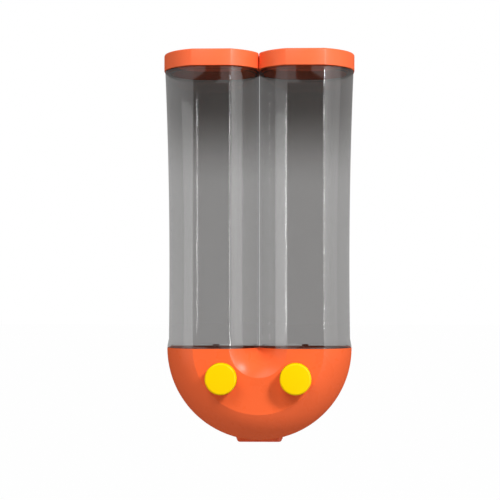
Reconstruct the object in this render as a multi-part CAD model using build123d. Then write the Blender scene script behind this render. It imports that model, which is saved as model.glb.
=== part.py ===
from build123d import *
import os
from math import atan2, cos, pi, radians, sin, sqrt

# A double dispenser for grain and cereal that hangs on a wall: two clear tanks side by side,
# each with a cap, on one half-round base. Each tank empties through its own sliding gate,
# which opens while its round button is pressed, and both gates feed one outlet.
# While modelling, X is to the right, Y goes back to the wall from the plane through the
# centres of the tanks' front arcs, and Z is height above the base's rim. Sizes are in mm.

# Plan of one tank: front arcs cut by a flat, straight sides, back arcs cut by a flat
lobe_r = 41.2
flat_half = 16.0
side_run = 11.1
back_flat_half = 17.5
flat_reach = sqrt(lobe_r**2 - flat_half**2)
back_reach = side_run + sqrt(lobe_r**2 - back_flat_half**2)

# Clearances
fit = 0.3           # between mouldings that assemble into each other
seat = 0.2          # under what rests on something
slide_gap = 0.2     # round the sliding gates
bore_gap = 0.25     # round the buttons
press_gap = 0.05    # round what is pressed or screwed in

# Forms that only cut
past = 1.0          # how far they run past the faces they cut
far = 200.0         # beyond the whole dispenser

# Tanks
tank_wall = 1.8
tank_gap = 0.2      # each tank stands this far inside the base's outline
tank_h = 247.0      # from the rim to the shoulder under the lid
waist_z = 65.0
waist_in = 1.6      # how far the outer side is drawn in at the waist
shoulder_out = 2.4  # how far the outer side stands out at the shoulder
foot_t = 1.8
flare_h = 8.0
spigot_t = 1.6
spigot_h = 6.0
neck_inset = 2.4

# Lids
lid_out = 3.07      # the skirt's overhang all round
lid_h = 14.7
lid_wall = 1.6
lid_roof = 2.0
lid_edge_r = 1.5
lid_gap = 0.2       # from each lid to the plane between the two
skirt_gap = 0.5     # from the skirt's edge to the tank's shoulder
plug_h = 7.9        # from the lid's top down to the plug's underside
plug_play = 1.1     # between the neck's inside and the plug, filled by the seal
seal_t = 1.2
seal_lip = 0.8
seal_lip_h = 4.0

# Base casing
shell_wall = 2.2
deck_lip = 0.5      # how far the deck reaches in past the casing's wall
key_w = 6.0         # lug that places each tank, and the notch in its foot
key_h = 1.2
boss_r = 4.0
boss_len = 16.0
boss_sink = 0.4     # how far each boss stands in the casing's wall
boss_end = 2.0      # left solid at the front end of a boss
boss_angles = (25.0, 60.0)
cover_t = 2.4
cover_screw_r = 1.4
cover_screw_len = 10.0
screw_head_r = 2.9
screw_head_t = 1.7
screw_edge = 0.7    # the bevel round a screw's head
drive_l = 3.2       # the crossed slots for the screwdriver
drive_w = 0.8
drive_deep = 0.8

# Buttons
button_r = 13.7
button_angle = 38.4  # below the horizontal, on the middle of the casing's flat ring
button_out = 14.0
button_wall = 1.6
button_edge_r = 1.7
travel = 12.0
pin_r = 3.0
pin_len = 11.0
socket_t = 1.6

# Hoppers, with a hood over the button's plunger
hopper_wall = 1.6
hopper_drop = 36.0  # from the hopper's upper edge to its throat
throat_w = 24.0
throat_d = 12.0
throat_y = 6.0
throat_r = 2.0
neck_drop = 1.2
flange_t = 2.0
flange_side = 11.0  # the flange's reach past the throat at each side
flange_front = 8.0
flange_back = 3.0
hood_gap = 0.6
hood_wall = 1.6
lug_w = 8.0         # lug between the hopper's back and the back cover
lug_d = 6.0
lug_h = 9.0

# Sliding gates
stop_lap = 1.6      # the stop flange's reach past the button's radius
slider_t = 2.8
gate_lap = 1.0      # cover past the throat when shut
plate_side = 2.8    # the plate's reach past the throat at each side
plate_back = 3.0
arm_w = 18.0
arm_knee = 11.0     # from the button's centre down to where the arm leans back
arm_lean = 4.5
gusset_t = 2.0
spring_pin_r = 2.6
spring_pin_len = 6.0
guide_floor = 1.8
guide_screw_r = 1.2
guide_screw_spread = 17.0
guide_screw_in = 4.0  # from the guide's ends to the screws
guide_boss_h = 4.0
guide_boss_wall = 1.8
gate_head_r = 2.4
gate_head_t = 1.6
gate_screw_reach = 2.0  # how far the screws go into the hoppers' bosses

# Return springs
spring_wire = 0.5
wire_sides = 6      # the wire is drawn as a bar of six sides
spring_mean_r = 3.9
spring_turns = 5
coil_gap = 0.5      # between the end turns, which are nearly closed
spring_slack = 0.1
cup_wall = 1.4
cup_depth = 4.0

# Chute and outlet lip
chute_wall = 1.6
chute_side = 1.8    # the chute's opening past the gates' throats at each side
chute_front = 2.0
chute_flange_t = 1.5
spout_rise = 6.4    # from the casing's lowest point up to where the lip begins
lip_half_top = 21.7
lip_half_low = 20.2
lip_front_y = 1.0
lip_d = 34.0
lip_drop = 1.9      # how far the lip stands out under the casing
lip_corner_r = 2.6
lip_front_h = 40.0  # height of the form that rounds the lip's corners
lip_room = 10.0     # from the lip's hole up past the casing's wall

# Wall bracket
bracket_half_w = 34.0
bracket_h = 52.0
bracket_t = 2.1
bracket_corner_r = 7.0
bracket_gap = 2.5   # from the back cover to the bracket
pad_t = 1.0
pad_margin = 3.0
hook_x = 20.0
hook_w = 12.0
hook_neck_t = 3.0
hook_tab_t = 1.9
hook_rise = 6.0     # how far each tab stands up behind the cover
hook_play = 0.5
hook_z = -22.0      # top of the hooks' necks
lift = 7.0          # travel that frees the dispenser from its hooks
wall_hole_r = 2.2
wall_hole_in = 7.0  # from the bracket's ends to the screw holes
bumper_r = 5.0
bumper_angle = 48.0
bumper_in = 4.0     # from the cover's edge to the bumpers
bumper_edge_r = 1.0
plate_over_hooks = 11.0  # from the hooks' top up to the bracket's upper edge

# Places that follow from these sizes
shoulder_z = tank_h + seat
skirt_z = shoulder_z + skirt_gap
lid_top_z = skirt_z + lid_h
roof_z = lid_top_z - lid_roof
plug_z = lid_top_z - plug_h
neck_top_z = roof_z - seal_t - fit
plug_inset = neck_inset + tank_wall + plug_play
deck_inset = shell_wall + deck_lip
spigot_inset = deck_inset + fit
hopper_top_z = -spigot_h - fit
button_x = lobe_r * cos(radians(button_angle))
button_z = -lobe_r * sin(radians(button_angle))
front_y = -flat_reach
inner_y = front_y + shell_wall
stop_y = inner_y + slide_gap
throat_z = hopper_top_z - hopper_drop
flange_z = throat_z - neck_drop - flange_t
slider_z = flange_z - slide_gap - slider_t
guide_z = slider_z - slide_gap - guide_floor
chute_z = guide_z
throat_front = throat_y - throat_d / 2
throat_back = throat_y + throat_d / 2
plate_half = throat_w / 2 + plate_side
flange_half = throat_w / 2 + flange_side
spring_z = slider_z + spring_pin_r
plate_end = throat_back + plate_back
hood_r = button_r + stop_lap + hood_gap
hood_end = stop_y + slider_t + travel + hood_gap
cover_y = back_reach - cover_t
cover_r = 2 * lobe_r - shell_wall - fit
bracket_y = back_reach + bracket_gap
pad_y = bracket_y + bracket_t
wall_y = pad_y + pad_t
bracket_z = hook_z + plate_over_hooks - bracket_h / 2
wall_hole_pitch = bracket_h - 2 * wall_hole_in
bumper_reach = cover_r - bumper_in - bumper_r
slot_top_z = hook_z + seat
slot_h = hook_neck_t + lift + 2 * hook_play + seat
chute_low_z = spout_rise - 2 * lobe_r
lip_low_z = -2 * lobe_r - lip_drop
chute_half = button_x + throat_w / 2 + chute_side
chute_y = throat_front - chute_front
chute_d = throat_d + 2 * chute_front
boss_reach = 2 * lobe_r - shell_wall - boss_r + boss_sink
cup_r = spring_mean_r + spring_wire / 2 + fit


def waist(z):
    """How far a tank's outer side stands out of its plan at a height."""
    share = (z - waist_z) / (shoulder_z - waist_z)
    return (shoulder_out + waist_in) * share**2 - waist_in


def arc(centre_x, centre_y, start, end):
    """The arc about a centre that is the short way round from start to end."""
    first = atan2(start[1] - centre_y, start[0] - centre_x)
    last = atan2(end[1] - centre_y, end[0] - centre_x)
    turn = (last - first + pi) % (2 * pi) - pi
    radius = sqrt((start[0] - centre_x) ** 2 + (start[1] - centre_y) ** 2)
    middle = first + turn / 2
    return ThreePointArc(start, (centre_x + radius * cos(middle), centre_y + radius * sin(middle)), end)


def lobe(grow=0.0, bulge=0.0):
    """A tank's plan on the right, grown all round, its outer side moved out by the bulge."""
    radius = lobe_r + grow
    front = flat_reach + grow
    back = back_reach + grow
    half = sqrt(radius**2 - front**2)
    back_half = sqrt(radius**2 - (back - side_run) ** 2)
    outer = radius + bulge
    shift = (outer**2 - radius**2) / (2 * (outer - half))
    back_shift = (outer**2 - radius**2) / (2 * (outer - back_half))
    front_in = (lobe_r - half, -front)
    front_out = (lobe_r + half, -front)
    side_front = (lobe_r + outer, 0)
    side_back = (lobe_r + outer, side_run)
    back_out = (lobe_r + back_half, back)
    back_in = (lobe_r - back_half, back)
    inner_back = (lobe_r - radius, side_run)
    inner_front = (lobe_r - radius, 0)
    return make_face(
        [
            Line(front_in, front_out),
            arc(lobe_r + shift, 0, front_out, side_front),
            Line(side_front, side_back),
            arc(lobe_r + back_shift, side_run, side_back, back_out),
            Line(back_out, back_in),
            arc(lobe_r, side_run, back_in, inner_back),
            Line(inner_back, inner_front),
            arc(lobe_r, 0, inner_front, front_in),
        ]
    )


def rounded(centre_x, centre_y, width, depth, radius):
    """A rounded rectangle whose edges follow each other as the lobe's do."""
    left, right = centre_x - width / 2, centre_x + width / 2
    front, back = centre_y - depth / 2, centre_y + depth / 2
    r = radius
    return make_face(
        [
            Line((left + r, front), (right - r, front)),
            arc(right - r, front + r, (right - r, front), (right, front + r)),
            Line((right, front + r), (right, back - r)),
            arc(right - r, back - r, (right, back - r), (right - r, back)),
            Line((right - r, back), (left + r, back)),
            arc(left + r, back - r, (left + r, back), (left, back - r)),
            Line((left, back - r), (left, front + r)),
            arc(left + r, front + r, (left, front + r), (left + r, front)),
        ]
    )


def prism(face, low, high):
    """A plan face made solid between two heights."""
    return extrude(Pos(0, 0, low) * face, high - low)


def block(x, y, z):
    """A box between pairs of limits along each axis."""
    size = [abs(b - a) for a, b in (x, y, z)]
    middle = [(a + b) / 2 for a, b in (x, y, z)]
    return Pos(*middle) * Box(*size)


def rod(x, z, radius, start, end):
    """A round bar along Y between two depths."""
    return Pos(x, (start + end) / 2, z) * Rot(90, 0, 0) * Cylinder(radius, abs(end - start))


def post(x, y, radius, low, high):
    """An upright round bar between two heights."""
    return Pos(x, y, (low + high) / 2) * Cylinder(radius, high - low)


def casing(inset=0.0, back=back_reach):
    """The half-round casing's form: half the rim's plan, turned about its middle."""
    radius = lobe_r - inset
    front = flat_reach - inset
    half = sqrt(radius**2 - front**2)
    tip = (inset, 0)
    ring_in = (lobe_r - half, -front)
    ring_out = (lobe_r + half, -front)
    side = (lobe_r + radius, 0)
    edges = [
        arc(lobe_r, 0, tip, ring_in),
        Line(ring_in, ring_out),
        arc(lobe_r, 0, ring_out, side),
        Line(side, (lobe_r + radius, back)),
        Line((lobe_r + radius, back), (0, back)),
        Line((0, back), (0, inset)),
    ]
    if inset:
        edges.append(Line((0, inset), tip))
    return revolve(make_face(edges), Axis.Y, 180)


def side_profile(points, x, width):
    """A profile of depths and heights made solid to the right of a place along X."""
    face = make_face(Polyline(*points, close=True))
    return Pos(x, 0, 0) * extrude(Plane.YZ * face, width)


def both(make):
    """The right-hand piece and its mirror image on the left."""
    right = make()
    return {"right": right, "left": mirror(right, Plane.YZ)}


def tank():
    """Clear tank: waisted wall, neck for the lid, flared foot and a spigot into the base."""
    plan = -tank_gap
    heights = [flare_h, waist_z, (waist_z + shoulder_z) / 2, shoulder_z]
    outer = loft([Pos(0, 0, z) * lobe(plan, waist(z)) for z in heights])
    foot_top = seat + foot_t
    neck_low = shoulder_z - tank_wall
    heights = [foot_top, waist_z, (waist_z + shoulder_z) / 2, neck_low]
    inner = loft([Pos(0, 0, z) * lobe(plan - tank_wall, waist(z)) for z in heights])
    foot = prism(lobe(plan), seat, foot_top)
    flare = loft(
        [Pos(0, 0, foot_top) * lobe(plan), Pos(0, 0, flare_h) * lobe(plan, waist(flare_h))],
        ruled=True,
    )
    neck = prism(lobe(-neck_inset), neck_low, neck_top_z)
    neck_bore = prism(lobe(-neck_inset - tank_wall), neck_low, neck_top_z)
    spigot = prism(lobe(-spigot_inset), -spigot_h, foot_top)
    spigot_bore = prism(lobe(-spigot_inset - spigot_t), -spigot_h, foot_top)
    body = foot + flare + outer + neck + spigot - inner - neck_bore - spigot_bore
    notch_half = key_w / 2 + fit
    notch = block(
        (lobe_r - notch_half, lobe_r + notch_half),
        (back_reach - shell_wall - fit, back_reach),
        (seat, seat + key_h + fit),
    )
    return body - notch


def lid():
    """Cap with a skirt outside the neck and a plug inside it, open above the plug."""
    cap = prism(lobe(lid_out), skirt_z, lid_top_z)
    top = cap.faces().sort_by(Axis.Z)[-1]
    cap = fillet(top.edges(), lid_edge_r)
    cap &= block((lid_gap, far), (-far, far), (skirt_z, lid_top_z))
    inside = block((lid_gap + lid_wall, far), (-far, far), (skirt_z, roof_z))
    cap -= prism(lobe(lid_out - lid_wall), skirt_z, roof_z) & inside
    cap += prism(lobe(-plug_inset), plug_z, roof_z)
    recess = prism(lobe(-plug_inset - lid_wall), plug_z + lid_roof, lid_top_z)
    return cap - recess


def lid_seal():
    """Soft ring under the lid's roof, with a lip between plug and neck."""
    ring = prism(lobe(-neck_inset), roof_z - seal_t, roof_z)
    lip = prism(lobe(-plug_inset + seal_lip), roof_z - seal_t - seal_lip_h, roof_z - seal_t)
    return ring + lip - prism(lobe(-plug_inset), roof_z - seal_t - seal_lip_h, roof_z)


def base_shell():
    """Half-round casing, open at the back, with a deck that holds the two tanks' spigots."""
    shell = casing()
    cavity = casing(shell_wall, back_reach + past)
    shell -= cavity & block((-far, far), (-far, far), (-far, -shell_wall))
    for plan in both(lambda: prism(lobe(-deck_inset), -shell_wall - deck_lip, past)).values():
        shell -= plan
    for x, z in boss_places():
        shell += rod(x, z, boss_r, cover_y - boss_len, cover_y)
        shell -= rod(x, z, cover_screw_r + press_gap, cover_y - boss_len + boss_end, cover_y + past)
    for side in (-1, 1):
        shell -= rod(side * button_x, button_z, button_r + bore_gap, front_y - past, inner_y + past)
        key_x = side * lobe_r
        shell += block(
            (key_x - key_w / 2, key_x + key_w / 2),
            (back_reach - shell_wall, back_reach - press_gap),
            (-shell_wall, seat + key_h),
        )
    hole_half = lip_half_top + fit
    shell -= block(
        (-hole_half, hole_half),
        (lip_front_y - fit, lip_front_y + lip_d + fit),
        (-far, chute_low_z + lip_room),
    )
    return shell


def boss_places():
    """Places of the casing's four screw bosses, seen from the front."""
    angles = [radians(a) for a in boss_angles]
    return [(side * boss_reach * cos(a), -boss_reach * sin(a)) for side in (-1, 1) for a in angles]


def cover_screws():
    """Screws that hold the back cover, their heads on it and crossed slots in the heads."""
    screws = []
    for x, z in boss_places():
        head = rod(x, z, screw_head_r, back_reach, back_reach + screw_head_t)
        head = chamfer(head.edges().sort_by(Axis.Y)[-1], screw_edge)
        for turn in (0, 90):
            slot = Rot(0, turn, 0) * Box(drive_l, 2 * drive_deep, drive_w)
            head -= Pos(x, back_reach + screw_head_t, z) * slot
        screws.append(head + rod(x, z, cover_screw_r, back_reach - cover_screw_len, back_reach))
    return Compound(children=screws)


def back_cover():
    """Flat half-round cover with hook slots, screw holes and cups for the springs."""
    cover = rod(0, 0, cover_r, cover_y, back_reach)
    cover &= block((-far, far), (0, far), (-far, -shell_wall - fit))
    slot_half = hook_w / 2 + hook_play
    for side in (-1, 1):
        cup = rod(side * button_x, spring_z, cup_r + cup_wall, cover_y - cup_depth, cover_y)
        cover += cup - rod(side * button_x, spring_z, cup_r, cover_y - cup_depth, cover_y)
        cover -= block(
            (side * hook_x - slot_half, side * hook_x + slot_half),
            (cover_y - past, back_reach + past),
            (slot_top_z - slot_h, slot_top_z),
        )
    for x, z in boss_places():
        cover -= rod(x, z, cover_screw_r + press_gap, cover_y - past, back_reach + past)
    return cover


def hopper():
    """Funnel from the tank down to the gate's throat, with a hood over the button's plunger."""
    plan = -shell_wall - fit
    mouth = Pos(0, 0, hopper_top_z) * lobe(plan)
    mouth_in = Pos(0, 0, hopper_top_z) * lobe(plan - hopper_wall)
    out_w = throat_w + 2 * hopper_wall
    out_d = throat_d + 2 * hopper_wall
    throat_out = rounded(button_x, throat_y, out_w, out_d, throat_r + hopper_wall)
    throat_in = rounded(button_x, throat_y, throat_w, throat_d, throat_r)
    outside = loft([mouth, Pos(0, 0, throat_z) * throat_out], ruled=True)
    inside = loft([mouth_in, Pos(0, 0, throat_z) * throat_in], ruled=True)
    body = outside + prism(throat_out, flange_z + flange_t, throat_z)
    flange = block(
        (button_x - flange_half, button_x + flange_half),
        (throat_front - flange_front, throat_back + flange_back),
        (flange_z, flange_z + flange_t),
    )
    body += flange
    hood_out = rod(button_x, button_z, hood_r + hood_wall, inner_y, hood_end + hood_wall)
    hood_out &= block((-far, far), (-far, far), (button_z, 0))
    hollow = rod(button_x, button_z, hood_r, inner_y - past, hood_end)
    body = body - inside + hood_out - hollow
    body -= prism(throat_in, flange_z, throat_z)
    lug = block(
        (lobe_r - lug_w / 2, lobe_r + lug_w / 2),
        (cover_y - lug_d, cover_y - fit),
        (hopper_top_z - lug_h, hopper_top_z),
    )
    body += lug - inside
    boss_top = flange_z + flange_t + guide_boss_h
    for x, y in guide_screw_places():
        body += post(x, y, guide_screw_r + guide_boss_wall, flange_z + flange_t, boss_top)
        body -= post(x, y, guide_screw_r + press_gap, flange_z, boss_top - past)
    return body & casing(shell_wall + fit, cover_y - press_gap)


def guide_screw_places():
    """Places of the two screws that hold the right-hand gate guide, seen from above."""
    x = button_x + guide_screw_spread
    front = throat_front - flange_front + guide_screw_in
    return [(x, front), (x, throat_back + flange_back - guide_screw_in)]


def gate_guide():
    """Tray under a hopper's throat that the sliding gate runs in."""
    low = (throat_front - flange_front, throat_back + flange_back)
    tray = block((button_x - flange_half, button_x + flange_half), low, (guide_z, flange_z))
    tray &= casing(shell_wall + fit)
    way = plate_half + slide_gap
    tray -= block(
        (button_x - way, button_x + way),
        (low[0] - past, low[1] + past),
        (slider_z - slide_gap, flange_z + past),
    )
    tray -= prism(rounded(button_x, throat_y, throat_w, throat_d, throat_r), guide_z - past, flange_z)
    for x, y in guide_screw_places():
        tray -= post(x, y, guide_screw_r + press_gap, guide_z - past, flange_z + past)
    return tray


def slider():
    """Button's plunger, arm and gate plate in one moulding, with the gate's window."""
    body = rod(button_x, button_z, button_r + stop_lap, stop_y, stop_y + slider_t)
    body += rod(button_x, button_z, pin_r, stop_y - pin_len, stop_y)
    foot_y = stop_y + arm_lean
    top = slider_z + slider_t
    window_y = throat_y - travel - gate_lap
    plate_front = window_y - throat_d / 2 - plate_side
    arm = [
        (stop_y, button_z),
        (stop_y, button_z - arm_knee),
        (foot_y, slider_z),
        (plate_front + past, slider_z),
        (plate_front + past, top),
        (foot_y + slider_t, top),
        (stop_y + slider_t, button_z - arm_knee),
        (stop_y + slider_t, button_z),
    ]
    body += side_profile(arm, button_x - arm_w / 2, arm_w)
    body += block((button_x - plate_half, button_x + plate_half), (plate_front, plate_end), (slider_z, top))
    rib_end = throat_front - flange_front - travel - fit
    rib = [
        (foot_y + slider_t - past, top - past),
        (rib_end, top - past),
        (rib_end, top),
        (stop_y + slider_t, button_z - arm_knee),
    ]
    for x in (button_x - arm_w / 2, button_x + arm_w / 2 - gusset_t):
        body += side_profile(rib, x, gusset_t)
    window = rounded(button_x, window_y, throat_w, throat_d, throat_r)
    body -= prism(window, slider_z - past, top + past)
    return body + rod(button_x, spring_z, spring_pin_r, plate_end, plate_end + spring_pin_len)


def button():
    """Round cap, hollow behind, with the socket that takes the plunger's pin."""
    rear = inner_y
    face = front_y - button_out
    cap = rod(button_x, button_z, button_r, face, rear)
    cap = fillet(cap.edges().sort_by(Axis.Y)[0], button_edge_r)
    cap -= rod(button_x, button_z, button_r - button_wall, face + button_wall, rear)
    cap += rod(button_x, button_z, pin_r + socket_t, face + button_wall, rear)
    return cap - rod(button_x, button_z, pin_r + press_gap, stop_y - pin_len - fit, rear)


def coil_depths():
    """Depths of the wire's middle at each half turn, the end turns nearly closed."""
    start = plate_end + spring_wire / 2 + spring_slack
    end = cover_y - spring_wire / 2 - spring_slack
    closed = (spring_wire + coil_gap) / 2
    halves = 2 * spring_turns
    open_rise = (end - start - 4 * closed) / (halves - 4)
    depths = [start]
    for half in range(halves):
        at_end = half < 2 or half >= halves - 2
        depths.append(depths[-1] + (closed if at_end else open_rise))
    return depths


def spring():
    """Return spring between the gate plate's pin and the back cover, one unbroken wire."""
    depths = coil_depths()
    last = len(depths) - 1

    def at(half):
        x = button_x + spring_mean_r * cos(half * pi)
        return Vector(x, depths[half], spring_z)

    def heading(half):
        before, after = max(half - 1, 0), min(half + 1, last)
        rise = (depths[after] - depths[before]) / (after - before)
        return Vector(0, rise, spring_mean_r * pi * cos(half * pi)).normalized()

    edges = [Line(at(0) - heading(0) * spring_wire, at(0))]
    for half in range(last):
        p, q = at(half), at(half + 1)
        t, u = heading(half), heading(half + 1)
        chord = q - p
        a = 2 * (t.dot(u) - 1)
        b = -2 * chord.dot(t + u)
        reach = (-b - sqrt(b * b - 4 * a * chord.dot(chord))) / (2 * a)
        join = (p + t * reach + q - u * reach) * 0.5
        edges.append(TangentArc(p, join, tangent=t))
        edges.append(TangentArc(join, q, tangent=join_heading(p, join, t)))
    edges.append(Line(at(last), at(last) + heading(last) * spring_wire))
    path = Wire(edges)
    print("least gap between the spring's turns", round(self_gap(path), 2))
    profile = Plane(path @ 0, z_dir=heading(0)) * RegularPolygon(spring_wire / 2, wire_sides)
    return sweep(profile, path, clean=False)


def self_gap(path):
    """Least gap of a coil's wire to itself, between points over half a turn apart."""
    count = 48 * spring_turns
    points = [path @ (i / count) for i in range(count + 1)]
    pairs = [(p, q) for i, p in enumerate(points) for q in points[i + 24 :]]
    return min((p - q).length for p, q in pairs) - spring_wire


def join_heading(p, join, tangent):
    """Direction at the end of an arc that leaves p along the tangent and reaches the join."""
    chord = (join - p).normalized()
    return chord * (2 * chord.dot(tangent)) - tangent


def chute():
    """Funnel that gathers both gates' grain and ends in the outlet lip under the base."""
    top = rounded(0, chute_y + chute_d / 2, 2 * chute_half, chute_d, throat_r)
    top_w = 2 * (chute_half + chute_wall)
    top_d = chute_d + 2 * chute_wall
    top_out = rounded(0, chute_y + chute_d / 2, top_w, top_d, throat_r + chute_wall)
    low_y = lip_front_y + lip_d / 2
    low_out = rounded(0, low_y, 2 * lip_half_top, lip_d, throat_r + chute_wall)
    low = rounded(0, low_y, 2 * (lip_half_top - chute_wall), lip_d - 2 * chute_wall, throat_r)
    end_out = rounded(0, low_y, 2 * lip_half_low, lip_d, throat_r + chute_wall)
    end = rounded(0, low_y, 2 * (lip_half_low - chute_wall), lip_d - 2 * chute_wall, throat_r)
    funnel = loft([Pos(0, 0, chute_z) * top_out, Pos(0, 0, chute_low_z) * low_out], ruled=True)
    spout = loft([Pos(0, 0, chute_low_z) * low_out, Pos(0, 0, lip_low_z) * end_out], ruled=True)
    spout &= Pos(0, far / 2, 0) * extrude(Plane.XZ * lip_front(), far)
    flange_reach = button_x + flange_half
    flange = block(
        (-flange_reach, flange_reach),
        (throat_front - flange_front, throat_back + flange_back),
        (chute_z - chute_flange_t, chute_z),
    )
    flange &= casing(shell_wall + fit)
    body = funnel + spout + flange
    body -= loft([Pos(0, 0, chute_z) * top, Pos(0, 0, chute_low_z) * low], ruled=True)
    body -= loft([Pos(0, 0, chute_low_z) * low, Pos(0, 0, lip_low_z) * end], ruled=True)
    for x, y in guide_screw_places():
        for side in (-1, 1):
            low = chute_z - chute_flange_t - past
            body -= post(side * x, y, guide_screw_r + press_gap, low, chute_z + past)
    return body


def lip_front():
    """Outline of the outlet lip from the front, its lower corners rounded."""
    wide, low = lip_half_top + past, lip_low_z + lip_corner_r
    inner, top = lip_half_low - lip_corner_r, lip_low_z + lip_front_h
    return make_face(
        [
            Line((-wide, top), (-wide, low)),
            Line((-wide, low), (-lip_half_low, low)),
            arc(-inner, low, (-lip_half_low, low), (-inner, lip_low_z)),
            Line((-inner, lip_low_z), (inner, lip_low_z)),
            arc(inner, low, (inner, lip_low_z), (lip_half_low, low)),
            Line((lip_half_low, low), (wide, low)),
            Line((wide, low), (wide, top)),
            Line((wide, top), (-wide, top)),
        ]
    )


def gate_screws():
    """Screws up through the chute's flange and the gate guides into the hoppers."""
    screws = []
    head_z = chute_z - chute_flange_t
    tip_z = flange_z + flange_t + gate_screw_reach
    for x, y in guide_screw_places():
        for side in (-1, 1):
            head = post(side * x, y, gate_head_r, head_z - gate_head_t, head_z)
            screws.append(head + post(side * x, y, guide_screw_r, head_z, tip_z))
    return Compound(children=screws)


def wall_bracket():
    """Plate that stays on the wall, with two hooks that the dispenser hangs on."""
    plate = Plane.XZ * RectangleRounded(2 * bracket_half_w, bracket_h, bracket_corner_r)
    body = Pos(0, pad_y, bracket_z) * extrude(plate, bracket_t)
    for side in (-1, 1):
        x = (side * hook_x - hook_w / 2, side * hook_x + hook_w / 2)
        tab_y = cover_y - seat - hook_tab_t
        body += block(x, (tab_y, bracket_y), (hook_z - hook_neck_t, hook_z))
        body += block(x, (tab_y, tab_y + hook_tab_t), (hook_z - hook_neck_t, hook_z + hook_rise))
    for hole in (-1, 1):
        body -= rod(0, bracket_z + hole * wall_hole_pitch / 2, wall_hole_r, bracket_y - past, pad_y + past)
    return body


def wall_pad():
    """Thin foam pad that sticks the bracket to the wall, with the screws' holes through it."""
    width = 2 * (bracket_half_w - pad_margin)
    plate = Plane.XZ * RectangleRounded(width, bracket_h - 2 * pad_margin, bracket_corner_r - pad_margin)
    body = Pos(0, wall_y, bracket_z) * extrude(plate, pad_t)
    for hole in (-1, 1):
        body -= rod(0, bracket_z + hole * wall_hole_pitch / 2, wall_hole_r, pad_y - past, wall_y + past)
    return body


def bumpers():
    """Rubber feet that keep the lower back of the base off the wall."""
    feet = []
    x = bumper_reach * cos(radians(bumper_angle))
    z = -bumper_reach * sin(radians(bumper_angle))
    for side in (-1, 1):
        foot = rod(side * x, z, bumper_r, back_reach, wall_y - seat)
        feet.append(fillet(foot.edges().sort_by(Axis.Y)[-1], bumper_edge_r))
    return Compound(children=feet)


def save(name, piece):
    """Write a piece with the origin at the middle of the pad's back face, on the wall."""
    export_step(Pos(0, -wall_y, -bracket_z) * piece, f"parts/{name}.step")


os.makedirs("parts", exist_ok=True)
for name, make in (
    ("tank", tank),
    ("lid", lid),
    ("lid_seal", lid_seal),
    ("hopper", hopper),
    ("gate_guide", gate_guide),
    ("slider", slider),
    ("button", button),
    ("return_spring", spring),
):
    for side, piece in both(make).items():
        save(f"{name}_{side}", piece)
save("base_shell", base_shell())
save("back_cover", back_cover())
save("cover_screws", cover_screws())
save("outlet_chute", chute())
save("gate_screws", gate_screws())
save("wall_bracket", wall_bracket())
save("wall_pad", wall_pad())
save("back_bumpers", bumpers())
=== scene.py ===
from math import atan2, cos, pi, radians, sin, sqrt

import bmesh
import bpy
from mathutils import Matrix, Vector


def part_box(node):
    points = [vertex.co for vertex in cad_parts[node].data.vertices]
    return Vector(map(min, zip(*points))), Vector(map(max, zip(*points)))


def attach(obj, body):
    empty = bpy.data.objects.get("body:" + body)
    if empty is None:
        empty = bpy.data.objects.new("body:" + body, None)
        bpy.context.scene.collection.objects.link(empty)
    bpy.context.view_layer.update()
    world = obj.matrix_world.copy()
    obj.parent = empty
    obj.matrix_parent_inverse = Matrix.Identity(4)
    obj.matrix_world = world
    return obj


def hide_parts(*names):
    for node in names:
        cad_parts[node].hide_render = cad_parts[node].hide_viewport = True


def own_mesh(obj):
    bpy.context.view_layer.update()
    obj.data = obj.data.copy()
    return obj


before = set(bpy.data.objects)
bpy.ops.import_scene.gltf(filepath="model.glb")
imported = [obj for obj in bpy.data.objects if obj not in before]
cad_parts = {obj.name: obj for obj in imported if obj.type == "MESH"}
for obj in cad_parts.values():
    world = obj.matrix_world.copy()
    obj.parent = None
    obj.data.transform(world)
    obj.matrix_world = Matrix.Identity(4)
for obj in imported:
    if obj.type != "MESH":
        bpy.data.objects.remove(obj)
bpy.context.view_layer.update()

bl_info = {
    "name": "Double Grain Dispenser",
    "version": (1, 0, 0),
    "blender": (4, 5, 0),
    "location": "View3D > Sidebar > Dispenser",
    "description": "Builds and dresses a wall-hung grain dispenser with two tanks and two press buttons",
    "category": "Add Mesh",
}

MM = 0.001
SIDES = {"right": 1, "left": -1}
ARC_STEPS = 32      # along each of the plan's arcs
HALF_TURN_STEPS = 88
ROUND_STEPS = 96    # round a button or its bore
CREASE_STEPS = 6
LEVELS = 16         # up a tank's wall
WIRE_SIDES = 10
COIL_STEPS = 28     # to one turn of a spring
PAST = 1.0 * MM     # how far a cutter reaches past what it cuts

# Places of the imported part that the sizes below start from
base_low, base_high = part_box("base_shell")
tank_low, tank_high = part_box("tank_right")
lid_low, lid_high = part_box("lid_right")
button_low, button_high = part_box("button_right")
spring_low, spring_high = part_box("return_spring_right")
SPIGOT_H = 6.0 * MM
RIM_Z = tank_low.z + SPIGOT_H
BUTTON_X = (button_low.x + button_high.x) / 2
BUTTON_Z = (button_low.z + button_high.z) / 2


def length(name, text, default):
    """A size property, given in metres and shown in the scene's units."""
    return bpy.props.FloatProperty(
        name=name, description=text, default=default, min=0.0, precision=5, unit="LENGTH", subtype="DISTANCE"
    )


def share(name, text, default):
    """A property from 0 to 1."""
    return bpy.props.FloatProperty(
        name=name, description=text, default=default, min=0.0, max=1.0, subtype="FACTOR"
    )


def watts(name, text, default):
    """A lamp's power."""
    return bpy.props.FloatProperty(name=name, description=text, default=default, unit="POWER")


def tint(name, text, default):
    """A colour property."""
    return bpy.props.FloatVectorProperty(
        name=name, description=text, default=default, size=3, min=0.0, max=1.0, subtype="COLOR"
    )


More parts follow.
